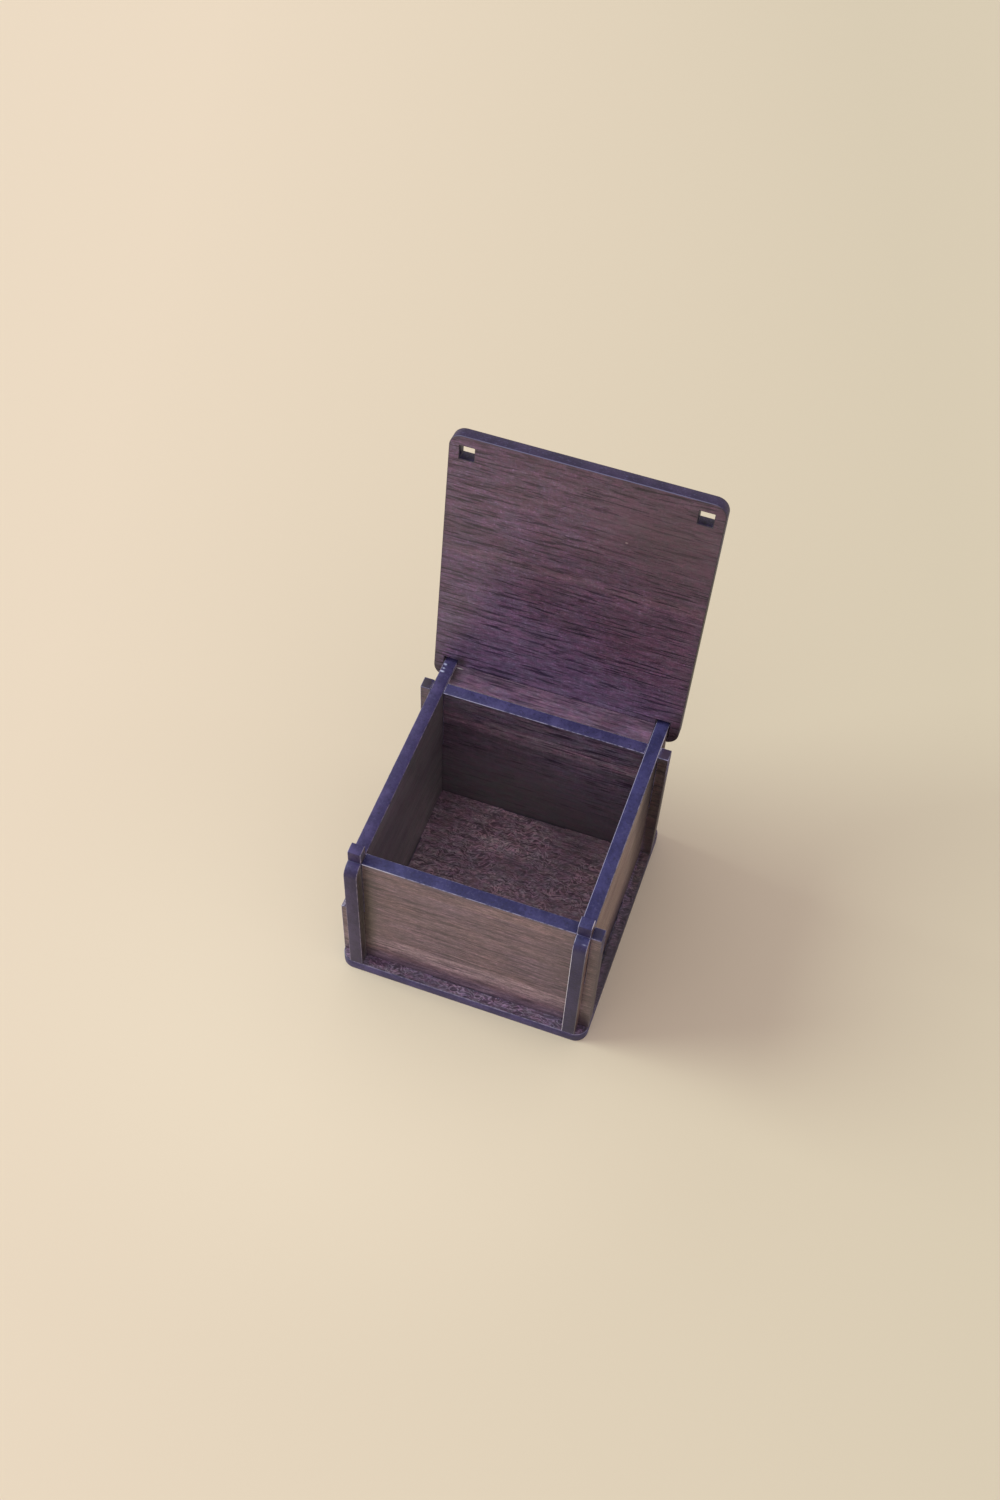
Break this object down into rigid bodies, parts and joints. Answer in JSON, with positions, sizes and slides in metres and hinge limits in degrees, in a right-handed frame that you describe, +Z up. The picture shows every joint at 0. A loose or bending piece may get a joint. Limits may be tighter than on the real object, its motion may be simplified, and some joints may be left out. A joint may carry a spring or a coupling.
{
  "type": "trinket box",
  "caption": "Small open box of interlocking veneered panels on a base plate, with a flat lid that swings on wooden hooks and drops over corner tabs.",
  "frame": {"origin": "on the face that the box stands on, under the middle of the inner space", "axes": "+X to the right of the box seen from its front, +Y to the rear where the hinge is, +Z up; the lid is open, leaning 8 degrees back"},
  "size_m": [0.059, 0.0727, 0.1045],
  "materials": {
    "veneered_board": "satin"
  },
  "bodies": {
    "box": {"base_plate": "veneered_board", "front_panel": "veneered_board", "back_panel": "veneered_board", "left_side_panel": "veneered_board", "right_side_panel": "veneered_board", "rear_rail": "veneered_board"},
    "lid": {"lid": "veneered_board"}
  },
  "joints": [
    {"name": "lid_hinge", "type": "hinge", "parent": "box", "child": "lid", "pos_m": [0, 0.0332, 0.043], "axis": [1, 0, 0], "range_deg": [0, 98]}
  ]
}
